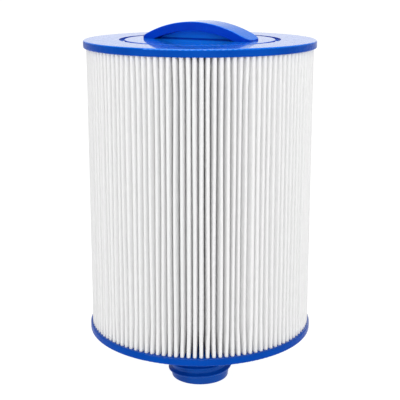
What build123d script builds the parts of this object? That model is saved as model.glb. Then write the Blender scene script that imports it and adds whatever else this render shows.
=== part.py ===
"""A pleated filter cartridge with a fixed top handle and a threaded outlet, in millimetres.

The origin is the bottom centre of the threaded fitting, +Z points up through the cartridge,
and the long side of the handle lies along X.
"""

from build123d import *
import os
from math import cos, radians, sin, sqrt

os.makedirs("parts", exist_ok=True)

# Driving dimensions: the whole cartridge
body_height = 196.0  # lower face of the bottom cap to the upper face of the top cap
cap_diameter = 152.0
bottom_cap_undersize = 1.2  # the bottom cap is this much smaller across than the top cap
cap_thickness = 5.0
cap_edge_round = 1.0
cap_lip = 1.4  # bottom cap's margin outside the pleats
potting_depth = 2.2  # how deep the pleat ends are cast into each cap

# Driving dimensions: pleated sheet
pleat_count = 115
sheet_thickness = 0.5
outer_fold_radius = 0.9  # to the middle of the sheet
inner_fold_radius = 0.375
seam_angle = 90.0  # the sheet's two ends meet at the back, +Y
seam_edge_trim = 1.6  # how far those two free edges stop short of the folds
seam_strip_depth = 13.0

# Driving dimensions: core
core_diameter = 54.0
core_wall = 2.5
core_gap = 0.5  # between the core and the inner folds
window_columns = 10
window_width = 9.0
window_height = 6.0
window_pitch = 9.0
window_margin = 7.0  # solid length of core left beyond each cap's inner face

# Driving dimensions: plate with the handle
plate_diameter = 98.3
groove_width = 3.65
groove_depth = 1.2
flange_grip = 3.0  # how far the plate's flange reaches under the cap's lip
plate_edge_round = 0.4
skirt_length = 14.0
skirt_wall = 2.0
skirt_clearance = 0.2
handle_length = 77.0
handle_rise = 11.8
handle_end_step = 1.0
handle_width = 21.0
handle_corner_round = 5.0  # seen from above
strap_thickness = 5.8
pocket_length = 58.0
web_thickness = 3.0
handle_edge_round = 0.8

# Driving dimensions: threaded fitting
neck_length = 38.0
neck_root_diameter = 40.0
neck_wall = 4.25
bore_chamfer = 0.8
pilot_step = 0.3  # the plain band at the lower end is this much inside the neck
pilot_length = 2.6
pilot_round = 0.6
thread_pitch = 5.6
thread_height = 2.1
thread_base_width = 4.4
thread_crest_width = 1.6
thread_bite = 0.4  # how deep the ridge's root is sunk into the neck
thread_relief = 5.0  # plain neck between the thread and the cap
thread_start_angle = 185.0  # where round the neck the first turn begins
fitting_flange_diameter = 80.0
spigot_length = 12.0
spigot_wall = 2.0
spigot_clearance = 0.2

# Levels, from the bottom of the fitting up
cap_floor = neck_length
cap_top = cap_floor + body_height
sheet_bottom = cap_floor + cap_thickness - potting_depth
sheet_top = cap_top - cap_thickness + potting_depth
flange_thickness = cap_thickness - potting_depth - groove_depth
fitting_flange_bottom = sheet_bottom - flange_thickness
plate_flange_top = cap_top - groove_depth

# Radii worked out from the driving dimensions
cap_radius = cap_diameter / 2
bottom_cap_radius = cap_radius - bottom_cap_undersize / 2
pleat_outer_radius = bottom_cap_radius - cap_lip
core_radius = core_diameter / 2
core_bore_radius = core_radius - core_wall
pleat_inner_radius = core_radius + core_gap
plate_radius = plate_diameter / 2
groove_radius = plate_radius + groove_width
plate_flange_radius = groove_radius + flange_grip
skirt_radius = core_bore_radius - skirt_clearance
spigot_radius = core_bore_radius - spigot_clearance
neck_root_radius = neck_root_diameter / 2
pilot_radius = neck_root_radius - pilot_step
bore_radius = neck_root_radius - neck_wall
fitting_flange_radius = fitting_flange_diameter / 2

pleat_angle = 360 / pleat_count
seam_edge_radius = pleat_outer_radius - seam_edge_trim


def on_circle(radius, degrees):
    """The point of a circle about Z at this angle from +X."""
    return Vector(radius * cos(radians(degrees)), radius * sin(radians(degrees)))


def fold_centres(tip_angle, side):
    """Middles of a pleat's outer fold and of the inner fold to its anticlockwise (+1) or clockwise (-1)."""
    outer = on_circle(pleat_outer_radius - sheet_thickness / 2 - outer_fold_radius, tip_angle)
    inner = on_circle(
        pleat_inner_radius + sheet_thickness / 2 + inner_fold_radius,
        tip_angle + side * pleat_angle / 2,
    )
    return outer, inner


def flank(tip_angle, side, offset):
    """Ends, at the outer and the inner fold, of the flat flank that joins those two folds.

    The offset is measured from the middle of the sheet, away from the inside of the pleat.
    """
    outer, inner = fold_centres(tip_angle, side)
    run = inner - outer
    along = run.normalized()
    across = Vector(along.Y, -along.X) * side
    lean = (outer_fold_radius + inner_fold_radius) / run.length
    normal = along * lean + across * sqrt(1 - lean * lean)
    return outer + normal * (outer_fold_radius + offset), inner - normal * (inner_fold_radius - offset)


def flank_point(side, offset, radius):
    """Where a flank of the seam pleat crosses a circle about Z."""
    start, end = flank(seam_angle, side, offset)
    share = (start.length - radius) / (start.length - end.length)
    return start + (end - start) * share


def sheet_surface(offset):
    """One surface of the folded sheet, all round. The seam pleat has two free edges in place of its fold."""
    outer_centre, _ = fold_centres(seam_angle, 1)
    _, inner_centre = fold_centres(seam_angle, -1)
    ccw_outer, ccw_inner = flank(seam_angle, 1, offset)
    cw_outer, cw_inner = flank(seam_angle, -1, offset)
    _, neighbour_inner = flank(seam_angle - pleat_angle, 1, offset)
    with BuildLine(mode=Mode.PRIVATE) as inner_fold:
        inner_tip = inner_centre - on_circle(inner_fold_radius - offset, seam_angle - pleat_angle / 2)
        ThreePointArc(cw_inner, inner_tip, neighbour_inner)
    with BuildLine(mode=Mode.PRIVATE) as pleat:
        outer_tip = outer_centre + on_circle(outer_fold_radius + offset, seam_angle)
        ThreePointArc(cw_outer, outer_tip, ccw_outer)
        Line(ccw_outer, ccw_inner)
        Line(cw_outer, cw_inner)
    with BuildLine(mode=Mode.PRIVATE) as surface:
        with PolarLocations(0, pleat_count):
            add(inner_fold.line)
        with PolarLocations(0, pleat_count - 1, pleat_angle, 360 - pleat_angle):
            add(pleat.line)
        Line(flank_point(1, offset, seam_edge_radius), ccw_inner)
        Line(flank_point(-1, offset, seam_edge_radius), cw_inner)
    return surface


# Cross-sections of the folded sheet and of the strip that bonds its two ends
outside_surface = sheet_surface(sheet_thickness / 2)
inside_surface = sheet_surface(-sheet_thickness / 2)
with BuildLine(mode=Mode.PRIVATE) as free_edges:
    for side in (-1, 1):
        Line(
            flank_point(side, sheet_thickness / 2, seam_edge_radius),
            flank_point(side, -sheet_thickness / 2, seam_edge_radius),
        )
with BuildSketch() as sheet_section:
    make_face(outside_surface.edges() + inside_surface.edges() + free_edges.edges())

with BuildSketch() as strip_section:
    with BuildLine():
        Polyline(
            flank_point(-1, -sheet_thickness / 2, seam_edge_radius),
            flank_point(1, -sheet_thickness / 2, seam_edge_radius),
            flank_point(1, -sheet_thickness / 2, seam_edge_radius - seam_strip_depth),
            flank_point(-1, -sheet_thickness / 2, seam_edge_radius - seam_strip_depth),
            close=True,
        )
    make_face()


def potting_section(outer_radius):
    """Section of a cap's cast material where it fills in round the pleat ends and the core."""
    with BuildSketch(mode=Mode.PRIVATE) as section:
        Circle(outer_radius)
        Circle(core_radius, mode=Mode.SUBTRACT)
        add(sheet_section.sketch, mode=Mode.SUBTRACT)
        add(strip_section.sketch, mode=Mode.SUBTRACT)
    return section.sketch


# Pleated sheet
with BuildPart() as pleated_media:
    with BuildSketch(Plane.XY.offset(sheet_bottom)):
        add(sheet_section.sketch)
    extrude(amount=sheet_top - sheet_bottom)
pleated_media.part.label = "pleated_media"
export_step(pleated_media.part, "parts/pleated_media.step")

# Bonding strip between the two ends of the sheet
with BuildPart() as seam_strip:
    with BuildSketch(Plane.XY.offset(sheet_bottom)):
        add(strip_section.sketch)
    extrude(amount=sheet_top - sheet_bottom)
seam_strip.part.label = "seam_strip"
export_step(seam_strip.part, "parts/seam_strip.step")

# Core tube with rows of windows
window_low = cap_floor + cap_thickness + window_margin
window_high = cap_top - cap_thickness - window_margin
window_rows = int((window_high - window_low) // window_pitch)
with BuildPart() as window_column:
    with BuildSketch(Plane.XZ):
        with Locations((0, (window_low + window_high) / 2)):
            with GridLocations(window_pitch, window_pitch, 1, window_rows):
                Rectangle(window_width, window_height)
    extrude(amount=core_radius + core_wall)

with BuildPart() as center_core:
    with BuildSketch(Plane.XY.offset(sheet_bottom)):
        Circle(core_radius)
        Circle(core_bore_radius, mode=Mode.SUBTRACT)
    extrude(amount=sheet_top - sheet_bottom)
    with PolarLocations(0, window_columns):
        add(window_column.part, mode=Mode.SUBTRACT)
center_core.part.label = "center_core"
export_step(center_core.part, "parts/center_core.step")

# Top cap, cast round the plate's flange, the core and the pleat ends
with BuildPart() as top_end_cap:
    with BuildSketch(Plane.XY.offset(cap_top - cap_thickness)):
        add(potting_section(cap_radius))
    extrude(amount=potting_depth)
    with BuildSketch(Plane.XY.offset(sheet_top)):
        Circle(cap_radius)
        Circle(plate_flange_radius, mode=Mode.SUBTRACT)
    extrude(amount=flange_thickness)
    with BuildSketch(Plane.XY.offset(plate_flange_top)):
        Circle(cap_radius)
        Circle(groove_radius, mode=Mode.SUBTRACT)
    extrude(amount=groove_depth)
    rim_edges = top_end_cap.edges().filter_by(GeomType.CIRCLE).group_by(SortBy.RADIUS)[-1]
    fillet(rim_edges.group_by(Axis.Z)[0] + rim_edges.group_by(Axis.Z)[-1], cap_edge_round)
top_end_cap.part.label = "top_end_cap"
export_step(top_end_cap.part, "parts/top_end_cap.step")

# Bottom cap, cast round the fitting's flange, the core and the pleat ends
with BuildPart() as bottom_end_cap:
    with BuildSketch(Plane.XY.offset(sheet_bottom)):
        add(potting_section(bottom_cap_radius))
    extrude(amount=potting_depth)
    with BuildSketch(Plane.XY.offset(fitting_flange_bottom)):
        Circle(bottom_cap_radius)
        Circle(fitting_flange_radius, mode=Mode.SUBTRACT)
    extrude(amount=flange_thickness)
    with BuildSketch(Plane.XY.offset(cap_floor)):
        Circle(bottom_cap_radius)
        Circle(neck_root_radius, mode=Mode.SUBTRACT)
    extrude(amount=fitting_flange_bottom - cap_floor)
    rim_edges = bottom_end_cap.edges().filter_by(GeomType.CIRCLE).group_by(SortBy.RADIUS)[-1]
    fillet(rim_edges.group_by(Axis.Z)[0] + rim_edges.group_by(Axis.Z)[-1], cap_edge_round)
bottom_end_cap.part.label = "bottom_end_cap"
export_step(bottom_end_cap.part, "parts/bottom_end_cap.step")

# Handle: an arched strap with rounded ends, on a thin web between two finger pockets
with BuildPart() as handle:
    with BuildSketch(Plane.XZ):
        with BuildLine():
            foot_left = (-handle_length / 2, plate_flange_top)
            foot_right = (handle_length / 2, plate_flange_top)
            end_left = (-handle_length / 2, cap_top + handle_end_step)
            end_right = (handle_length / 2, cap_top + handle_end_step)
            ThreePointArc(end_left, (0, cap_top + handle_rise), end_right)
            Polyline(end_right, foot_right, foot_left, end_left)
        make_face()
    extrude(amount=handle_width / 2, both=True)
    with BuildSketch(Plane.XY.offset(plate_flange_top)):
        RectangleRounded(handle_length, handle_width, handle_corner_round)
    extrude(amount=groove_depth + handle_rise, mode=Mode.INTERSECT)
    fillet(handle.faces().sort_by(Axis.Z)[-1].edges(), handle_edge_round)
    for side in (-1, 1):
        with BuildSketch(Plane.XZ.offset(side * web_thickness / 2)):
            with BuildLine():
                pocket_left = (-pocket_length / 2, cap_top)
                pocket_right = (pocket_length / 2, cap_top)
                ThreePointArc(pocket_left, (0, cap_top + handle_rise - strap_thickness), pocket_right)
                Line(pocket_right, pocket_left)
            make_face()
        extrude(amount=side * (handle_width - web_thickness) / 2, mode=Mode.SUBTRACT)

# Plate with the handle: a flanged disc, and a skirt that centres the core
with BuildPart() as handle_plate:
    with BuildSketch(Plane.XY.offset(sheet_top)):
        Circle(plate_flange_radius)
    extrude(amount=flange_thickness)
    with BuildSketch(Plane.XY.offset(plate_flange_top)):
        Circle(plate_radius)
    extrude(amount=groove_depth)
    fillet(handle_plate.edges().group_by(Axis.Z)[-1], plate_edge_round)
    with BuildSketch(Plane.XY.offset(sheet_top)):
        Circle(skirt_radius)
        Circle(skirt_radius - skirt_wall, mode=Mode.SUBTRACT)
    extrude(amount=-skirt_length)
    add(handle.part)
handle_plate.part.label = "handle_plate"
export_step(handle_plate.part, "parts/handle_plate.step")

# Coarse ridge of the thread, wound up from a start on +X
thread_start = pilot_length + thread_base_width / 2
thread_rise = cap_floor - thread_relief - thread_start
with BuildPart() as thread_ridge:
    with BuildLine() as ridge_path:
        Helix(thread_pitch, thread_rise, neck_root_radius, center=(0, 0, thread_start))
    with BuildSketch(Plane(origin=(neck_root_radius, 0, thread_start), x_dir=(1, 0, 0), z_dir=(0, -1, 0))):
        with BuildLine():
            root_low = (-thread_bite, -thread_base_width / 2)
            root_high = (-thread_bite, thread_base_width / 2)
            crest_low = (thread_height - thread_crest_width / 2, -thread_crest_width / 2)
            crest_high = (thread_height - thread_crest_width / 2, thread_crest_width / 2)
            Polyline(crest_low, root_low, root_high, crest_high)
            ThreePointArc(crest_high, (thread_height, 0), crest_low)
        make_face()
    sweep(path=ridge_path.line, is_frenet=True)

# Threaded fitting: a bored neck with the ridge, a flange held in the cap, and a spigot in the core
with BuildPart() as threaded_fitting:
    with BuildSketch(Plane.XZ):
        with BuildLine():
            Line((bore_radius + bore_chamfer, 0), (pilot_radius - pilot_round, 0))
            RadiusArc((pilot_radius - pilot_round, 0), (pilot_radius, pilot_round), -pilot_round)
            Polyline(
                (pilot_radius, pilot_round),
                (pilot_radius, pilot_length),
                (neck_root_radius, pilot_length),
                (neck_root_radius, fitting_flange_bottom),
                (fitting_flange_radius, fitting_flange_bottom),
                (fitting_flange_radius, sheet_bottom),
                (spigot_radius, sheet_bottom),
                (spigot_radius, sheet_bottom + spigot_length),
                (spigot_radius - spigot_wall, sheet_bottom + spigot_length),
                (bore_radius, sheet_bottom),
                (bore_radius, bore_chamfer),
                (bore_radius + bore_chamfer, 0),
            )
        make_face()
    revolve(axis=Axis.Z)
    add(thread_ridge.part, rotation=(0, 0, thread_start_angle))
threaded_fitting.part.label = "threaded_fitting"
export_step(threaded_fitting.part, "parts/threaded_fitting.step")
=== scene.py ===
"""Pleated filter cartridge: finishes, folded filter sheet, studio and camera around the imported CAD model."""

import math

import bpy
import numpy as np
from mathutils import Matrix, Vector


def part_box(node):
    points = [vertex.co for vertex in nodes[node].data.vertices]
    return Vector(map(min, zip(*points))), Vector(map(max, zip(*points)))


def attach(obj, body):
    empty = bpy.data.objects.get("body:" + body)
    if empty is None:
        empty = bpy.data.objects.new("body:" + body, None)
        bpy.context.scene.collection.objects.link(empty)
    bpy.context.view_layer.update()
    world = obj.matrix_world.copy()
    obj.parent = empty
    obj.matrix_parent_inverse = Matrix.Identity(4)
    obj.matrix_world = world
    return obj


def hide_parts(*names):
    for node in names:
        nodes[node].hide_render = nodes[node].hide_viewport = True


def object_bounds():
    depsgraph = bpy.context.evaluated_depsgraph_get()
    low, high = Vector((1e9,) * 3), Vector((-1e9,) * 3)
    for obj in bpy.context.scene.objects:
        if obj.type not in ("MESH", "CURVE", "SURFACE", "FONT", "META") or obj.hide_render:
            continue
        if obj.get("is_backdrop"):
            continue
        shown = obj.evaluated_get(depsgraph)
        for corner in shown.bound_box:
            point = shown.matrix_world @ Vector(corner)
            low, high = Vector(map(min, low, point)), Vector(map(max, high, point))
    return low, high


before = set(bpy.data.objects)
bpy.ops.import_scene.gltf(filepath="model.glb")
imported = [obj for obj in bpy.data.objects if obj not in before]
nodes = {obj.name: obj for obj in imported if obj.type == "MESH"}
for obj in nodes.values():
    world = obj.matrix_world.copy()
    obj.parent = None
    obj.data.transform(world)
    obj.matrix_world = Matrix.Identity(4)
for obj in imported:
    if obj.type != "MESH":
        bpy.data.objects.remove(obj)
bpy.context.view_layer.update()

MM = 0.001

# The folded sheet, as it is made
PLEATS = 115
SHEET_THICKNESS = 0.5 * MM
OUTER_FOLD = 0.9 * MM  # radius to the middle of the sheet
INNER_FOLD = 0.375 * MM
OUTER_FOLD_STEPS = 6
INNER_FOLD_STEPS = 3
SHEET_ROWS = 25
POTTING = 3 * MM  # the pleats are exactly regular this far from each end, where a cap hides them

# How far the real pleats stray from the regular shape between the caps
SEED = 115
TIP_SWAY = math.radians(0.24)
TIP_WAVE = math.radians(0.20)
WAVE_CYCLES = (0.5, 1.0, 1.7)  # between the two ends of the sheet
MOST_STRAY = 1.6  # the random draws are cut off here, in standard deviations
TIP_DRAW_IN = 0.5 * MM
FOLD_SPREAD = 0.32
FOLD_SPREAD_RANGE = (-1, 0.1)  # most folds are tighter than the regular ones
CAP_HOLD = 22 * MM  # length over which a cap holds the pleats regular

# Flanks belly out into the gaps between pleats: how far down a flank, and what share of the half gap
BELLY = ((0.035, 0.42), (0.11, 0.90), (0.50, 0.88))
BELLY_RANGE = (0.78, 1.08)  # from pleat to pleat
BELLY_MOST = 0.93  # share of the half gap that no flank passes, so that pleats don't touch
BOTTOM_BELLY_HOLD = 16 * MM  # length above the bottom cap over which the pleats still stand apart
TOP_BELLY_HOLD = 5 * MM
CAP_ROWS = (0.0, POTTING, 6 * MM, 11 * MM)  # closer rows of points next to each cap

WEB_HALF = 1.5 * MM  # half the thickness of the web under the handle's strap

# Camera
CAMERA_AZIMUTH = math.radians(26)
CAMERA_DISTANCE = 621 * MM
CAMERA_ABOVE_TOP = 47.6 * MM
CAMERA_PITCH = math.radians(12.4)
CAMERA_LENS = 85.0
CAMERA_SHIFT_Y = -0.07

# Studio
FLOOR_HALF_SIZE = 40.0
FLOOR_GLOW = 0.98
BACK_WALL_GLOW = 0.92  # behind the object, as the top face mirrors it
FRONT_WALL_GLOW = 0.48
CEILING_GLOW = 0.42
WALL_TOP, CEILING_START = 0.12, 0.35  # heights on the sphere of directions
# Name, azimuth from the camera's side, distance, height, height aimed at, width, height of the box, watts
SOFT_BOXES = (
    ("left_box", -50, 0.9, 0.35, 0.13, 0.5, 0.8, 0.7),
    ("right_box", 50, 0.9, 0.35, 0.13, 0.5, 0.8, 0.7),
    ("front_box", 4, 1.0, 0.50, 0.15, 0.35, 0.6, 3.1),
    ("overhead_box", 180, 0.15, 1.2, 0.2, 0.8, 0.8, 7),
)

# Colours
CAP_BLUE = (0.0, 0.056, 0.38)
CAP_BLUE_LIGHT = (0.0, 0.070, 0.44)
PLATE_BLUE = (0.0, 0.046, 0.47)
PLATE_BLUE_LIGHT = (0.0, 0.060, 0.54)
# Painted light: the thin web under the handle's strap is shown lighter than the rest of the plate
WEB_LIT_BLUE = (0.010, 0.260, 1.0)
TOP_LIT_BLUE = (0.003, 0.200, 0.90)  # painted top light: lighter blue where a skin faces up
LEDGE_TOP_LIT_BLUE = (0.0, 0.066, 0.42)  # painted top light on the bottom cap's upper face
FITTING_BLUE = (0.0, 0.050, 0.30)
FITTING_BLUE_LIGHT = (0.0, 0.070, 0.38)
CORE_WHITE = (0.80, 0.81, 0.82)
CORE_WHITE_LIGHT = (0.87, 0.88, 0.89)
ADHESIVE = (0.80, 0.75, 0.62)
ADHESIVE_LIGHT = (0.88, 0.85, 0.76)
FIBRE_WHITE = (0.84, 0.84, 0.84)
FIBRE_WHITE_LIGHT = (0.87, 0.87, 0.87)
STRAND_WHITE = (0.89, 0.89, 0.89)
PAPER_GREY = (0.08, 0.08, 0.08)
PAPER_GREY_LIGHT = (0.10, 0.10, 0.10)
WHITE = (1.0, 1.0, 1.0, 1.0)

# Gloss of the caps and of the handle's plate: full where a skin faces up, next to none on upright walls
GLOSSY = {"Specular_IOR_Level": 0.03, "Coat_Roughness": 0.05, "Coat_IOR": 1.3}
LEAST_GLOSS = 0.03


# Materials


def add_node(tree, kind, inputs=(), **options):
    """A new node with its options set and each input either linked or given its value."""
    made = tree.nodes.new(kind)
    for key, value in options.items():
        setattr(made, key, value)
    for key, value in dict(inputs).items():
        if isinstance(value, bpy.types.NodeSocket):
            tree.links.new(value, made.inputs[key])
        else:
            made.inputs[key].default_value = value
    return made


class Finish:
    """A node material on one Principled shader, with short calls for the textures that feed it."""

    def __init__(self, name, **settings):
        self.material = bpy.data.materials.new(name)
        self.material.use_nodes = True
        self.tree = self.material.node_tree
        self.shader = self.tree.nodes["Principled BSDF"]
        self.place = self.node("ShaderNodeTexCoord").outputs["Object"]
        self.shader.inputs["Subsurface Radius"].default_value = (1.0, 1.0, 1.0)
        for socket, value in settings.items():
            self.shader.inputs[socket.replace("_", " ")].default_value = value

    def node(self, kind, inputs=(), **options):
        return add_node(self.tree, kind, inputs, **options)

    def feed(self, socket, value):
        """Links a texture's output to a socket of the shader."""
        self.tree.links.new(value, self.shader.inputs[socket])

    def noise(self, per_metre, detail=3.0, roughness=0.5, at=None):
        inputs = {"Vector": at or self.place, "Scale": per_metre, "Detail": detail, "Roughness": roughness}
        return self.node("ShaderNodeTexNoise", inputs).outputs["Fac"]

    def stretched(self, factors, turn=0.0, at=None):
        """Coordinates scaled by a factor along each axis, after a turn about Z."""
        inputs = {"Vector": at or self.place, "Scale": factors, "Rotation": (0.0, 0.0, turn)}
        return self.node("ShaderNodeMapping", inputs, vector_type="POINT").outputs["Vector"]

    def between(self, value, low, high, to_low=0.0, to_high=1.0):
        """Smooth step from one value to another as the input goes from low to high."""
        inputs = {"Value": value, "From Min": low, "From Max": high, "To Min": to_low, "To Max": to_high}
        return self.node("ShaderNodeMapRange", inputs, interpolation_type="SMOOTHSTEP").outputs["Result"]

    def math(self, operation, first, second=0.0):
        return self.node("ShaderNodeMath", {0: first, 1: second}, operation=operation).outputs["Value"]

    def blend(self, amount, first, second):
        """Mix of two colours, each a plain colour or another node's output."""
        mixed = self.node("ShaderNodeMix", data_type="RGBA")
        self.tree.links.new(amount, mixed.inputs["Factor"])
        colour_sockets = [socket for socket in mixed.inputs if socket.type == "RGBA"]
        for socket, colour in zip(colour_sockets, (first, second)):
            if isinstance(colour, bpy.types.NodeSocket):
                self.tree.links.new(colour, socket)
            else:
                socket.default_value = (*colour, 1.0)
        return next(socket for socket in mixed.outputs if socket.type == "RGBA")

    def bump(self, height, depth, over=None):
        """Normal bumped by a height texture, on top of another bump if there is one."""
        inputs = {"Height": height, "Distance": depth, "Strength": 1.0}
        if over:
            inputs["Normal"] = over
        return self.node("ShaderNodeBump", inputs).outputs["Normal"]

    def facing_up(self, low, high, least=0.0):
        """One where the surface faces up, down to the least value where it's upright or faces down."""
        rise = self.axis("Z", self.node("ShaderNodeNewGeometry").outputs["Normal"])
        return self.between(rise, low, high, least, 1.0)

    def painted_top_light(self, colour, lit):
        """Painted top light: the colour, moved towards a second, lighter one where the surface faces up."""
        return self.blend(self.facing_up(0.1, 0.95), colour, lit)

    def gloss(self):
        """Coat weight: full where the surface faces up, and the least value on upright walls."""
        return self.facing_up(0.3, 0.9, LEAST_GLOSS)

    def axis(self, name, at=None):
        """One coordinate of the place on the object, or of another vector."""
        return self.node("ShaderNodeSeparateXYZ", {"Vector": at or self.place}).outputs[name]


def cast_urethane(name, top_lit_colour):
    """Soft glossy castings: poured, so slightly wavy, with faint mottling, a few pinholes and painted top
    light on faces that face up.
    """
    f = Finish(name, **GLOSSY)
    pour = f.blend(f.between(f.noise(38, 2), 0.3, 0.7), CAP_BLUE, CAP_BLUE_LIGHT)
    # Painted top light: faces that face up take the lighter colour
    f.feed("Base Color", f.painted_top_light(pour, top_lit_colour))
    f.feed("Coat Weight", f.gloss())
    f.feed("Roughness", f.between(f.noise(260, 4), 0.3, 0.7, 0.20, 0.34))
    waves = f.bump(f.noise(55, 1), 0.05 * MM)
    skin = f.bump(f.noise(1500, 3), 0.002 * MM, waves)
    cells = f.node("ShaderNodeTexVoronoi", {"Vector": f.place, "Scale": 150.0})
    pinholes = f.between(cells.outputs["Distance"], 0.035, 0.075)
    f.feed("Normal", f.bump(pinholes, 0.05 * MM, skin))
    return f.material


def moulded_plate(top):
    """Glossy moulding with faint flow marks, painted light that makes it lighter where only the thin web
    stands, and painted top light where it faces up.
    """
    f = Finish("moulded_plate", **GLOSSY)
    flow = f.noise(30, 3, 0.6, f.stretched((1.0, 3.0, 1.0)))
    plain = f.blend(f.between(flow, 0.35, 0.65), PLATE_BLUE, PLATE_BLUE_LIGHT)
    off_middle = f.math("ABSOLUTE", f.axis("Y"))
    in_web = f.between(off_middle, WEB_HALF + 0.3 * MM, WEB_HALF + 0.9 * MM, 1.0, 0.0)
    above = f.between(f.axis("Z"), top + 0.1 * MM, top + 1.2 * MM)
    # Painted light: lighter blue on the thin web above the cap's top
    painted = f.blend(f.math("MULTIPLY", in_web, above), plain, WEB_LIT_BLUE)
    # Painted top light: faces that face up take a lighter blue
    f.feed("Base Color", f.painted_top_light(painted, TOP_LIT_BLUE))
    f.feed("Coat Weight", f.gloss())
    f.feed("Roughness", f.between(f.noise(320, 4), 0.3, 0.7, 0.18, 0.30))
    shrink = f.bump(f.noise(48, 1), 0.03 * MM)
    f.feed("Normal", f.bump(f.noise(2200, 2), 0.001 * MM, shrink))
    return f.material


def moulded_fitting():
    """Satin moulding with fine rings left by the turned mould."""
    f = Finish("moulded_fitting", IOR=1.2, Coat_Weight=0.2, Coat_Roughness=0.2, Coat_IOR=1.2)
    cloudy = f.between(f.noise(70, 3), 0.3, 0.7)
    f.feed("Base Color", f.blend(cloudy, FITTING_BLUE, FITTING_BLUE_LIGHT))
    f.feed("Roughness", f.between(f.noise(400, 4), 0.3, 0.7, 0.30, 0.44))
    rings = f.noise(60, 2, 0.6, f.stretched((1.0, 1.0, 60.0)))
    turned = f.bump(rings, 0.010 * MM)
    f.feed("Normal", f.bump(f.noise(2600, 2), 0.005 * MM, turned))
    return f.material


def moulded_core():
    """Plain white moulding with a fine spark-eroded grain."""
    f = Finish("moulded_core", IOR=1.49, Subsurface_Weight=0.08, Subsurface_Scale=0.002)
    cloudy = f.between(f.noise(40, 3), 0.3, 0.7)
    f.feed("Base Color", f.blend(cloudy, CORE_WHITE, CORE_WHITE_LIGHT))
    f.feed("Roughness", f.between(f.noise(500, 3), 0.3, 0.7, 0.42, 0.55))
    f.feed("Normal", f.bump(f.noise(3200, 3), 0.012 * MM))
    return f.material


def set_adhesive():
    """Set hot-melt bead, slightly clear, with small bubbles."""
    f = Finish("set_adhesive", IOR=1.48, Subsurface_Weight=0.3, Subsurface_Scale=0.003)
    cloudy = f.between(f.noise(120, 3), 0.3, 0.7)
    f.feed("Base Color", f.blend(cloudy, ADHESIVE, ADHESIVE_LIGHT))
    f.feed("Roughness", f.between(f.noise(300, 2), 0.3, 0.7, 0.22, 0.4))
    cells = f.node("ShaderNodeTexVoronoi", {"Vector": f.place, "Scale": 700.0})
    bubbles = f.between(cells.outputs["Distance"], 0.1, 0.4)
    f.feed("Normal", f.bump(bubbles, 0.05 * MM))
    return f.material


def spunbonded():
    """Bonded polyester fibre: fine threads laid in several directions, cloudy and matte."""
    f = Finish("spunbonded", IOR=1.3)
    flat = f.node("ShaderNodeUVMap", uv_map="flat").outputs["UV"]
    threads = None
    threads_per_metre = (5200.0, 420.0, 1.0)  # across, along, and through the sheet
    for turn in (0.2, 1.0, 1.75, 2.55):
        lay = f.noise(1.0, 2, 0.6, f.stretched(threads_per_metre, turn, flat))
        threads = lay if threads is None else f.math("MAXIMUM", threads, lay)
    cloud = f.noise(170, 4, 0.6, flat)
    body = f.blend(f.between(cloud, 0.3, 0.75), FIBRE_WHITE, FIBRE_WHITE_LIGHT)
    strands = f.between(threads, 0.52, 0.74)
    f.feed("Base Color", f.blend(strands, body, STRAND_WHITE))
    f.feed("Roughness", f.between(cloud, 0.3, 0.7, 0.72, 0.88))
    quilt = f.bump(cloud, 0.06 * MM)
    f.feed("Normal", f.bump(strands, 0.035 * MM, quilt))
    return f.material


# The folded sheet


def vertex_array(node):
    """A CAD node's mesh points as an array of rows x, y, z."""
    points = np.empty(len(node.data.vertices) * 3)
    node.data.vertices.foreach_get("co", points)
    return points.reshape(-1, 3)


def ease(share):
    """Smooth rise from 0 to 1."""
    share = np.clip(share, 0.0, 1.0)
    return share * share * (3 - 2 * share)


def pleat_wander(rows, rng):
    """For each row and pleat: the tip's turn about Z, how far it is drawn in, its fold's size, its belly."""

    def stray():
        return rng.normal(0, 1, PLEATS).clip(-MOST_STRAY, MOST_STRAY)

    height = np.linspace(0, 1, rows)[:, None]
    every_row = np.ones((rows, 1))
    sway = stray() * TIP_SWAY
    lean = stray() * TIP_WAVE * (2 * height - 1)
    bow = np.zeros((rows, PLEATS))
    for cycles in WAVE_CYCLES:
        phase = rng.uniform(0, 2 * math.pi, PLEATS)
        bow += stray() * np.sin(2 * math.pi * cycles * height + phase) * TIP_WAVE / (2 * cycles)
    drawn = rng.uniform(0, 1, PLEATS) ** 2 * TIP_DRAW_IN * every_row
    spread = 1 + rng.uniform(*FOLD_SPREAD_RANGE, PLEATS) * FOLD_SPREAD * every_row
    belly = rng.uniform(*BELLY_RANGE, PLEATS) * every_row
    return sway + lean + bow, drawn, spread, belly


def arc(centre, radius, start, end, steps):
    """Points round a circle from one direction to another, for arrays of circles."""
    share = np.linspace(0, 1, steps + 1)
    turn = start[..., None] + (end - start)[..., None] * share
    return centre[..., None, :] + radius[..., None, None] * np.stack([np.cos(turn), np.sin(turn)], -1)


def polar(radius, angle):
    """Points x, y at a distance from Z and an angle round it."""
    return np.stack([radius * np.cos(angle), radius * np.sin(angle)], -1)


def near(angle, reference):
    """The angle moved by whole turns to within half a turn of the reference."""
    return reference + (angle - reference + math.pi) % (2 * math.pi) - math.pi


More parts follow.
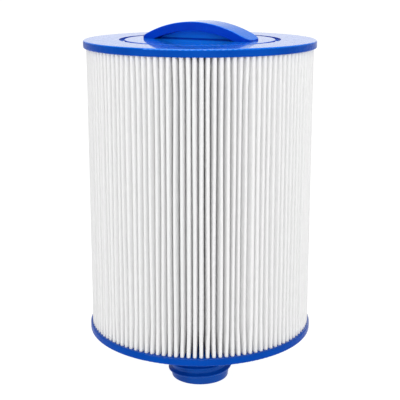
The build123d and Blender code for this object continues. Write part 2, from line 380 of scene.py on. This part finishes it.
def sheet_lines(tips, outer_at, fold, belly, inner_at, free_edge_at, offset):
    """One surface of the sheet, row by row: from the seam's one free edge all the way round to the other.

    The offset is that surface's distance from the middle of the sheet, positive on the outside of a pleat.
    """
    inner_radius, first_angle = inner_at
    gap_angle = first_angle + (np.arange(PLEATS) + 0.5) * 2 * math.pi / PLEATS
    gaps = np.broadcast_to(polar(np.full(PLEATS, inner_radius), gap_angle), (*tips.shape, 2))
    crowns = polar(outer_at, tips)

    def flanks(side, offset):
        """Outer ends, inner ends and normals of the pleats' flanks, side +1 anticlockwise, -1 clockwise."""
        inner = gaps if side > 0 else np.roll(gaps, 1, axis=1)
        run = inner - crowns
        length = np.linalg.norm(run, axis=-1, keepdims=True)
        along = run / length
        across = np.stack([along[..., 1], -along[..., 0]], -1) * side
        slope = (fold[..., None] + INNER_FOLD) / length
        normal = along * slope + across * np.sqrt(1 - slope * slope)
        outer_ends = crowns + normal * (fold[..., None] + offset)
        inner_ends = inner - normal * (INNER_FOLD - offset)
        return outer_ends, inner_ends, normal

    left_out, left_in, left_normal = flanks(1, offset)
    right_out, right_in, right_normal = flanks(-1, offset)
    left_faces, right_faces = flanks(1, SHEET_THICKNESS / 2), flanks(-1, SHEET_THICKNESS / 2)

    def bellied(side, out, inn):
        """Points down each flank, moved into the gap towards the next pleat's flank."""
        own, other = (left_faces, right_faces) if side > 0 else (right_faces, left_faces)
        points = []
        for down, share in BELLY:
            here = own[0] + (own[1] - own[0]) * down
            across = np.roll(other[0] + (other[1] - other[0]) * down, -side, axis=1)
            moved = (across - here) / 2 * np.minimum(share * belly, BELLY_MOST)[..., None]
            points.append(out + (inn - out) * down + moved)
        return np.stack(points, axis=-2)

    left_run = bellied(1, left_out, left_in)
    right_run = bellied(-1, right_out, right_in)[..., ::-1, :]
    left_turn = near(np.arctan2(left_normal[..., 1], left_normal[..., 0]), tips + math.pi / 2)
    right_turn = near(np.arctan2(right_normal[..., 1], right_normal[..., 0]), tips - math.pi / 2)
    crown_arcs = arc(crowns, fold + offset, right_turn, left_turn, OUTER_FOLD_STEPS)

    # Round an inner fold, from a pleat's left flank to the next pleat's right flank, through the middle
    start = near(left_turn + math.pi, gap_angle + math.pi / 2)
    end = near(np.roll(right_turn, -1, axis=1) + math.pi, gap_angle + math.pi * 3 / 2)
    gap_arcs = arc(gaps, np.full(tips.shape, INNER_FOLD - offset), start, end, INNER_FOLD_STEPS)

    def free_edge(out, inn):
        """Where the seam pleat's flank stops, short of its outer fold."""
        out_radius, in_radius = np.linalg.norm(out, axis=-1), np.linalg.norm(inn, axis=-1)
        share = (out_radius - free_edge_at) / (out_radius - in_radius)
        return out + (inn - out) * share[:, None]

    parts = [free_edge(left_out[:, 0], left_in[:, 0])[:, None], left_run[:, 0], gap_arcs[:, 0]]
    for pleat in range(1, PLEATS):
        parts += [right_run[:, pleat], crown_arcs[:, pleat], left_run[:, pleat], gap_arcs[:, pleat]]
    parts += [right_run[:, 0], free_edge(right_out[:, 0], right_in[:, 0])[:, None]]
    return np.concatenate(parts, axis=1)


def pleated_sheet():
    """The filter sheet, folded as the CAD node is at its two ends and straying a little between the caps."""
    cad_points = vertex_array(nodes["pleated_media"])
    radii = np.hypot(cad_points[:, 0], cad_points[:, 1])
    strip = vertex_array(nodes["seam_strip"])
    seam = math.atan2(strip[:, 1].mean(), strip[:, 0].mean())
    free_edge_at = np.hypot(strip[:, 0], strip[:, 1]).max()
    low, high = cad_points[:, 2].min(), cad_points[:, 2].max()

    turn, drawn, spread, belly = pleat_wander(SHEET_ROWS, np.random.default_rng(SEED))
    near_cap = np.array(CAP_ROWS)
    middle_rows = SHEET_ROWS - 2 * len(near_cap)
    between_caps = np.linspace(low + near_cap[-1], high - near_cap[-1], middle_rows + 2)[1:-1]
    level = np.concatenate([low + near_cap, between_caps, high - near_cap[::-1]])

    above_low, below_high = (level - low)[:, None], (high - level)[:, None]
    from_cap = np.minimum(above_low, below_high) - POTTING
    pleat = np.arange(PLEATS)
    off_seam = (pleat > 0)[None, :]  # the seam pleat is stiff with adhesive and stays regular
    free = ease(from_cap / CAP_HOLD) * off_seam
    tips = seam + pleat * 2 * math.pi / PLEATS + turn * free
    fold = OUTER_FOLD * (1 + (spread - 1) * free)
    bulge = ease((above_low - POTTING) / BOTTOM_BELLY_HOLD) * ease(below_high / TOP_BELLY_HOLD)
    belly = belly * bulge * off_seam
    half = SHEET_THICKNESS / 2
    outer_at = radii.max() - half - fold - drawn * free
    inner_at = (radii.min() + half + INNER_FOLD, seam)
    outside, inside = (
        sheet_lines(tips, outer_at, fold, belly, inner_at, free_edge_at, offset)
        for offset in (half, -half)
    )
    columns = outside.shape[1]
    heights = np.broadcast_to(level[:, None, None], (SHEET_ROWS, columns, 1))
    surfaces = [np.concatenate([side, heights], -1).reshape(-1, 3) for side in (outside, inside)]
    points = np.concatenate(surfaces)

    front = np.arange(SHEET_ROWS * columns).reshape(SHEET_ROWS, columns)
    back = front + SHEET_ROWS * columns

    def quads(first, second, third, fourth):
        return np.stack([first, second, third, fourth], -1).reshape(-1, 4)

    faces = np.concatenate(
        [
            quads(front[:-1, :-1], front[:-1, 1:], front[1:, 1:], front[1:, :-1]),  # outside surface
            quads(back[:-1, 1:], back[:-1, :-1], back[1:, :-1], back[1:, 1:]),  # inside surface
            quads(front[-1, :-1], front[-1, 1:], back[-1, 1:], back[-1, :-1]),  # top edge
            quads(front[0, 1:], front[0, :-1], back[0, :-1], back[0, 1:]),  # bottom edge
            quads(front[:-1, 0], front[1:, 0], back[1:, 0], back[:-1, 0]),  # free edges at the seam
            quads(front[1:, -1], front[:-1, -1], back[:-1, -1], back[1:, -1]),
        ]
    )
    mesh = bpy.data.meshes.new("pleated_sheet")
    mesh.from_pydata(points.tolist(), [], faces.tolist())
    mesh.validate()
    mesh.shade_smooth()

    # Flat coordinates in metres, so that the fibres aren't stretched
    middle = (outside[0] + inside[0]) / 2
    run = np.concatenate([[0], np.cumsum(np.linalg.norm(np.diff(middle, axis=0), axis=1))])
    along = np.tile(np.tile(run, SHEET_ROWS), 2)
    up = np.tile(np.repeat(level, columns), 2)
    corners = np.empty(len(mesh.loops), dtype=np.int32)
    mesh.loops.foreach_get("vertex_index", corners)
    layer = mesh.uv_layers.new(name="flat")
    layer.data.foreach_set("uv", np.stack([along, up], -1)[corners].ravel())

    sheet = bpy.data.objects.new("pleated_sheet", mesh)
    bpy.context.scene.collection.objects.link(sheet)
    sheet.data.materials.append(spunbonded())
    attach(sheet, "root")
    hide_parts("pleated_media")


def repaint(name, material):
    """Gives a CAD node its finish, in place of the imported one."""
    node = nodes[name]
    node.data.materials.clear()
    node.data.materials.append(material)


# Studio


def around(azimuth, distance, height):
    """A point round the object, at an azimuth from the camera's side, positive to the camera's right."""
    a = CAMERA_AZIMUTH + math.radians(azimuth)
    return Vector((distance * math.sin(a), -distance * math.cos(a), height))


def soft_box(name, azimuth, distance, height, aim, width, tall, power):
    """A rectangular lamp that faces the object's axis at the height aimed at."""
    light = bpy.data.lights.new(name, "AREA")
    light.shape = "RECTANGLE"
    light.size, light.size_y = width, tall
    light.energy = power
    lamp = bpy.data.objects.new(name, light)
    lamp.location = around(azimuth, distance, height)
    lamp.rotation_euler = (Vector((0, 0, aim)) - lamp.location).to_track_quat("-Z", "Y").to_euler()
    bpy.context.scene.collection.objects.link(lamp)


def white_floor(level):
    """A wide sheet of white paper under the object. It glows, so that shadows on it stay faint."""
    signs = ((-1, -1), (1, -1), (1, 1), (-1, 1))
    corners = [(x * FLOOR_HALF_SIZE, y * FLOOR_HALF_SIZE, level) for x, y in signs]
    mesh = bpy.data.meshes.new("floor")
    mesh.from_pydata(corners, [], [(0, 1, 2, 3)])
    floor = bpy.data.objects.new("floor", mesh)
    bpy.context.scene.collection.objects.link(floor)
    paper = Finish("white_paper", Roughness=0.9)
    paper.feed("Base Color", paper.blend(paper.noise(3, 2), PAPER_GREY, PAPER_GREY_LIGHT))
    paper.shader.inputs["Emission Color"].default_value = WHITE
    paper.shader.inputs["Emission Strength"].default_value = FLOOR_GLOW
    mesh.materials.append(paper.material)
    floor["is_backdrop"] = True


def white_surroundings():
    """White walls, bright behind the object, dimmer in front of it and dimmest overhead."""
    world = bpy.data.worlds.new("studio")
    world.use_nodes = True
    tree = world.node_tree

    def grade(value, low, high, to_low, to_high):
        inputs = {"Value": value, "From Min": low, "From Max": high, "To Min": to_low, "To Max": to_high}
        return add_node(tree, "ShaderNodeMapRange", inputs).outputs["Result"]

    direction = add_node(tree, "ShaderNodeTexCoord").outputs["Generated"]
    height = add_node(tree, "ShaderNodeSeparateXYZ", {0: direction}).outputs["Z"]
    towards_back = {0: direction, 1: around(180, 1, 0)}
    back = add_node(tree, "ShaderNodeVectorMath", towards_back, operation="DOT_PRODUCT")
    wall = grade(back.outputs["Value"], 0.0, 0.8, FRONT_WALL_GLOW, BACK_WALL_GLOW)
    strength = grade(height, WALL_TOP, CEILING_START, wall, CEILING_GLOW)
    background = tree.nodes["Background"]
    background.inputs["Color"].default_value = WHITE
    tree.links.new(strength, background.inputs["Strength"])
    bpy.context.scene.world = world


def camera(top):
    """The shot from the front, a little above the top cap and looking down."""
    data = bpy.data.cameras.new("camera")
    data.lens = CAMERA_LENS
    data.shift_y = CAMERA_SHIFT_Y
    data.clip_end = 100.0
    shot = bpy.data.objects.new("camera", data)
    shot.location = around(0, CAMERA_DISTANCE, top + CAMERA_ABOVE_TOP)
    shot.rotation_euler = (math.pi / 2 - CAMERA_PITCH, 0.0, CAMERA_AZIMUTH)
    bpy.context.scene.collection.objects.link(shot)
    bpy.context.scene.camera = shot


# The scene

cap_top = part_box("top_end_cap")[1][2]
# Painted top light on the top cap's upper face
repaint("top_end_cap", cast_urethane("cast_urethane_top", TOP_LIT_BLUE))
# Painted top light on the bottom cap's upper face
repaint("bottom_end_cap", cast_urethane("cast_urethane_bottom", LEDGE_TOP_LIT_BLUE))
repaint("handle_plate", moulded_plate(cap_top))
repaint("threaded_fitting", moulded_fitting())
repaint("center_core", moulded_core())
repaint("seam_strip", set_adhesive())
pleated_sheet()

white_floor(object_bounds()[0][2])
white_surroundings()
camera(cap_top)
for box in SOFT_BOXES:
    soft_box(*box)
bpy.context.scene.view_settings.view_transform = "Standard"
